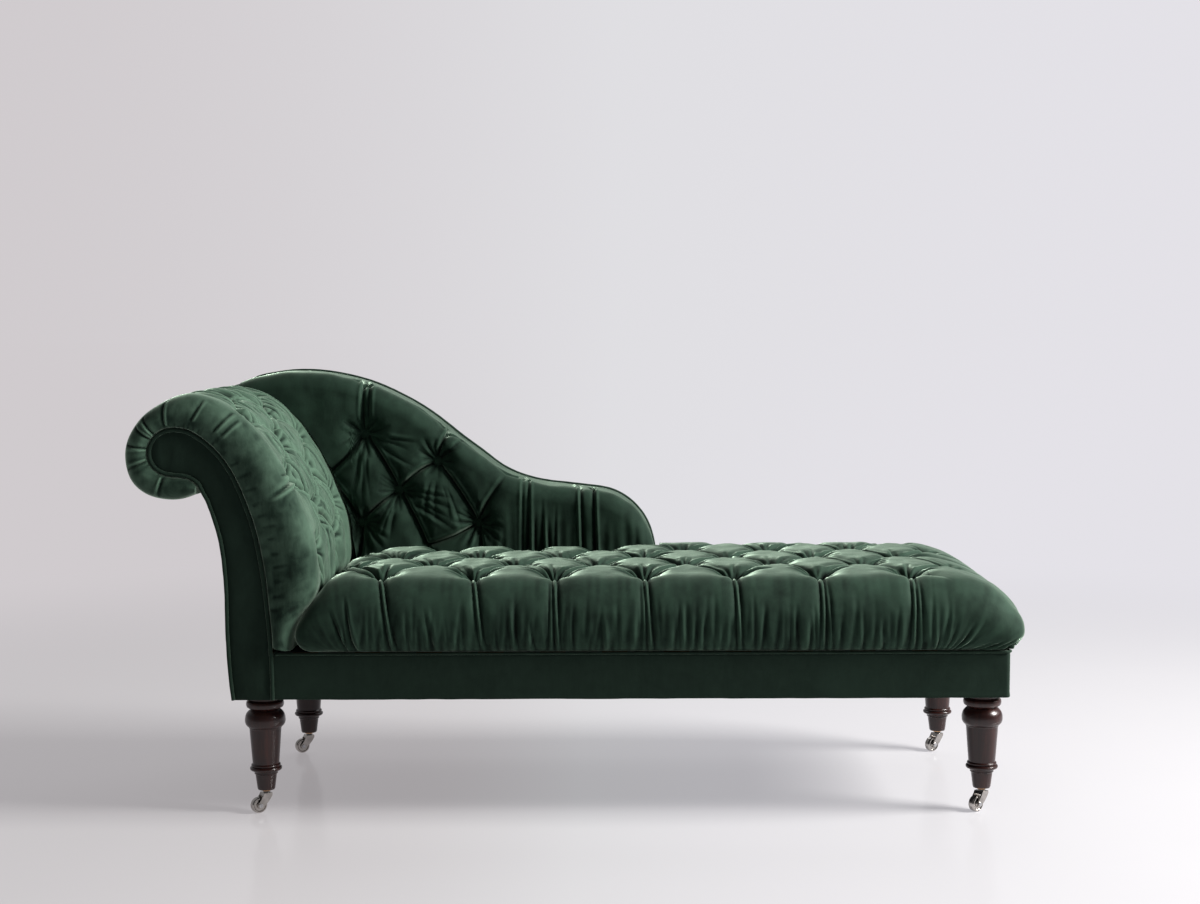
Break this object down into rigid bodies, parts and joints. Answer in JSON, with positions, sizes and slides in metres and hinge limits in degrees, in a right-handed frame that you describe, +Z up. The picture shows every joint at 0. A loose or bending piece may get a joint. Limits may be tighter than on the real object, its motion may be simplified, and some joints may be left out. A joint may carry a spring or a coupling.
{
  "type": "chaise longue",
  "caption": "Chaise longue: deep-buttoned velvet seat, scrolled head rest at the left end, low curved back behind, plain upholstered rail, turned legs with swivel castors",
  "frame": {"origin": "on the floor plane under the middle of the bounding box", "axes": "+Z up; X along the length with the head rest at -X and the foot end at +X; the sitter's open side faces -Y and the shaped back is at +Y"},
  "size_m": [1.7746, 0.69, 0.8726],
  "materials": {
    "frame_wood": "matte",
    "velvet": "matte",
    "piping": "matte",
    "button_velvet": "matte",
    "foam": "matte",
    "webbing": "matte",
    "lining": "matte",
    "turned_wood": "satin",
    "steel": "satin",
    "castor_metal": "polished",
    "castor_socket": "polished",
    "castor_pin": "satin"
  },
  "bodies": {
    "couch": {"back_base_cloth": "lining", "back_bottom_rail": "frame_wood", "back_buttons": "button_velvet", "back_cover": "velvet", "back_end_post": "frame_wood", "back_foam": "foam", "back_seat_rail": "frame_wood", "back_top_rail": "frame_wood", "back_uprights": "frame_wood", "castor_socket_back_foot": "castor_socket", "castor_socket_back_head": "castor_socket", "castor_socket_front_foot": "castor_socket", "castor_socket_front_head": "castor_socket", "corner_blocks": "frame_wood", "dust_cover": "lining", "facing_piping": "piping", "foot_seat_rail": "frame_wood", "front_seat_rail": "frame_wood", "head_back_rails": "frame_wood", "head_base_cloth": "lining", "head_board_front": "frame_wood", "head_board_rear": "frame_wood", "head_bottom_rail": "frame_wood", "head_buttons": "button_velvet", "head_cover": "velvet", "head_foam": "foam", "head_outside_cover": "velvet", "head_scroll_roller": "frame_wood", "head_seat_rail": "frame_wood", "leg_back_foot": "turned_wood", "leg_back_head": "turned_wood", "leg_bolts": "steel", "leg_front_foot": "turned_wood", "leg_front_head": "turned_wood", "leg_nuts": "steel", "outside_back_cover": "velvet", "outside_back_piping": "piping", "rail_band": "velvet", "rail_piping": "piping", "scroll_facing_front": "velvet", "seat_buttons": "button_velvet", "seat_cover": "velvet", "seat_cross_braces": "frame_wood", "seat_foam": "foam", "seat_platform_cloth": "lining", "seat_webbing_across": "webbing", "seat_webbing_along": "webbing"},
    "castor_front_head": {"castor_horn_front_head": "castor_metal", "castor_axle_front_head": "castor_pin"},
    "wheel_front_head": {"castor_wheel_front_head": "castor_metal"},
    "castor_front_foot": {"castor_horn_front_foot": "castor_metal", "castor_axle_front_foot": "castor_pin"},
    "wheel_front_foot": {"castor_wheel_front_foot": "castor_metal"},
    "castor_back_head": {"castor_horn_back_head": "castor_metal", "castor_axle_back_head": "castor_pin"},
    "wheel_back_head": {"castor_wheel_back_head": "castor_metal"},
    "castor_back_foot": {"castor_horn_back_foot": "castor_metal", "castor_axle_back_foot": "castor_pin"},
    "wheel_back_foot": {"castor_wheel_back_foot": "castor_metal"}
  },
  "joints": [
    {"name": "swivel_front_head", "type": "hinge", "parent": "couch", "child": "castor_front_head", "pos_m": [-0.625, -0.27, 0.044], "axis": [0, 0, 1], "continuous": true},
    {"name": "roll_front_head", "type": "hinge", "parent": "castor_front_head", "child": "wheel_front_head", "pos_m": [-0.63909, -0.27951, 0.016], "axis": [-0.5592, 0.829, 0], "continuous": true},
    {"name": "swivel_front_foot", "type": "hinge", "parent": "couch", "child": "castor_front_foot", "pos_m": [0.807, -0.27, 0.044], "axis": [0, 0, 1], "continuous": true},
    {"name": "roll_front_foot", "type": "hinge", "parent": "castor_front_foot", "child": "wheel_front_foot", "pos_m": [0.79398, -0.28093, 0.016], "axis": [-0.6428, 0.766, 0], "continuous": true},
    {"name": "swivel_back_head", "type": "hinge", "parent": "couch", "child": "castor_back_head", "pos_m": [-0.625, 0.27, 0.044], "axis": [0, 0, 1], "continuous": true},
    {"name": "roll_back_head", "type": "hinge", "parent": "castor_back_head", "child": "wheel_back_head", "pos_m": [-0.64001, 0.26202, 0.016], "axis": [-0.4695, 0.8829, 0], "continuous": true},
    {"name": "swivel_back_foot", "type": "hinge", "parent": "couch", "child": "castor_back_foot", "pos_m": [0.807, 0.27, 0.044], "axis": [0, 0, 1], "continuous": true},
    {"name": "roll_back_foot", "type": "hinge", "parent": "castor_back_foot", "child": "wheel_back_foot", "pos_m": [0.79325, 0.26001, 0.016], "axis": [-0.5878, 0.809, 0], "continuous": true}
  ]
}
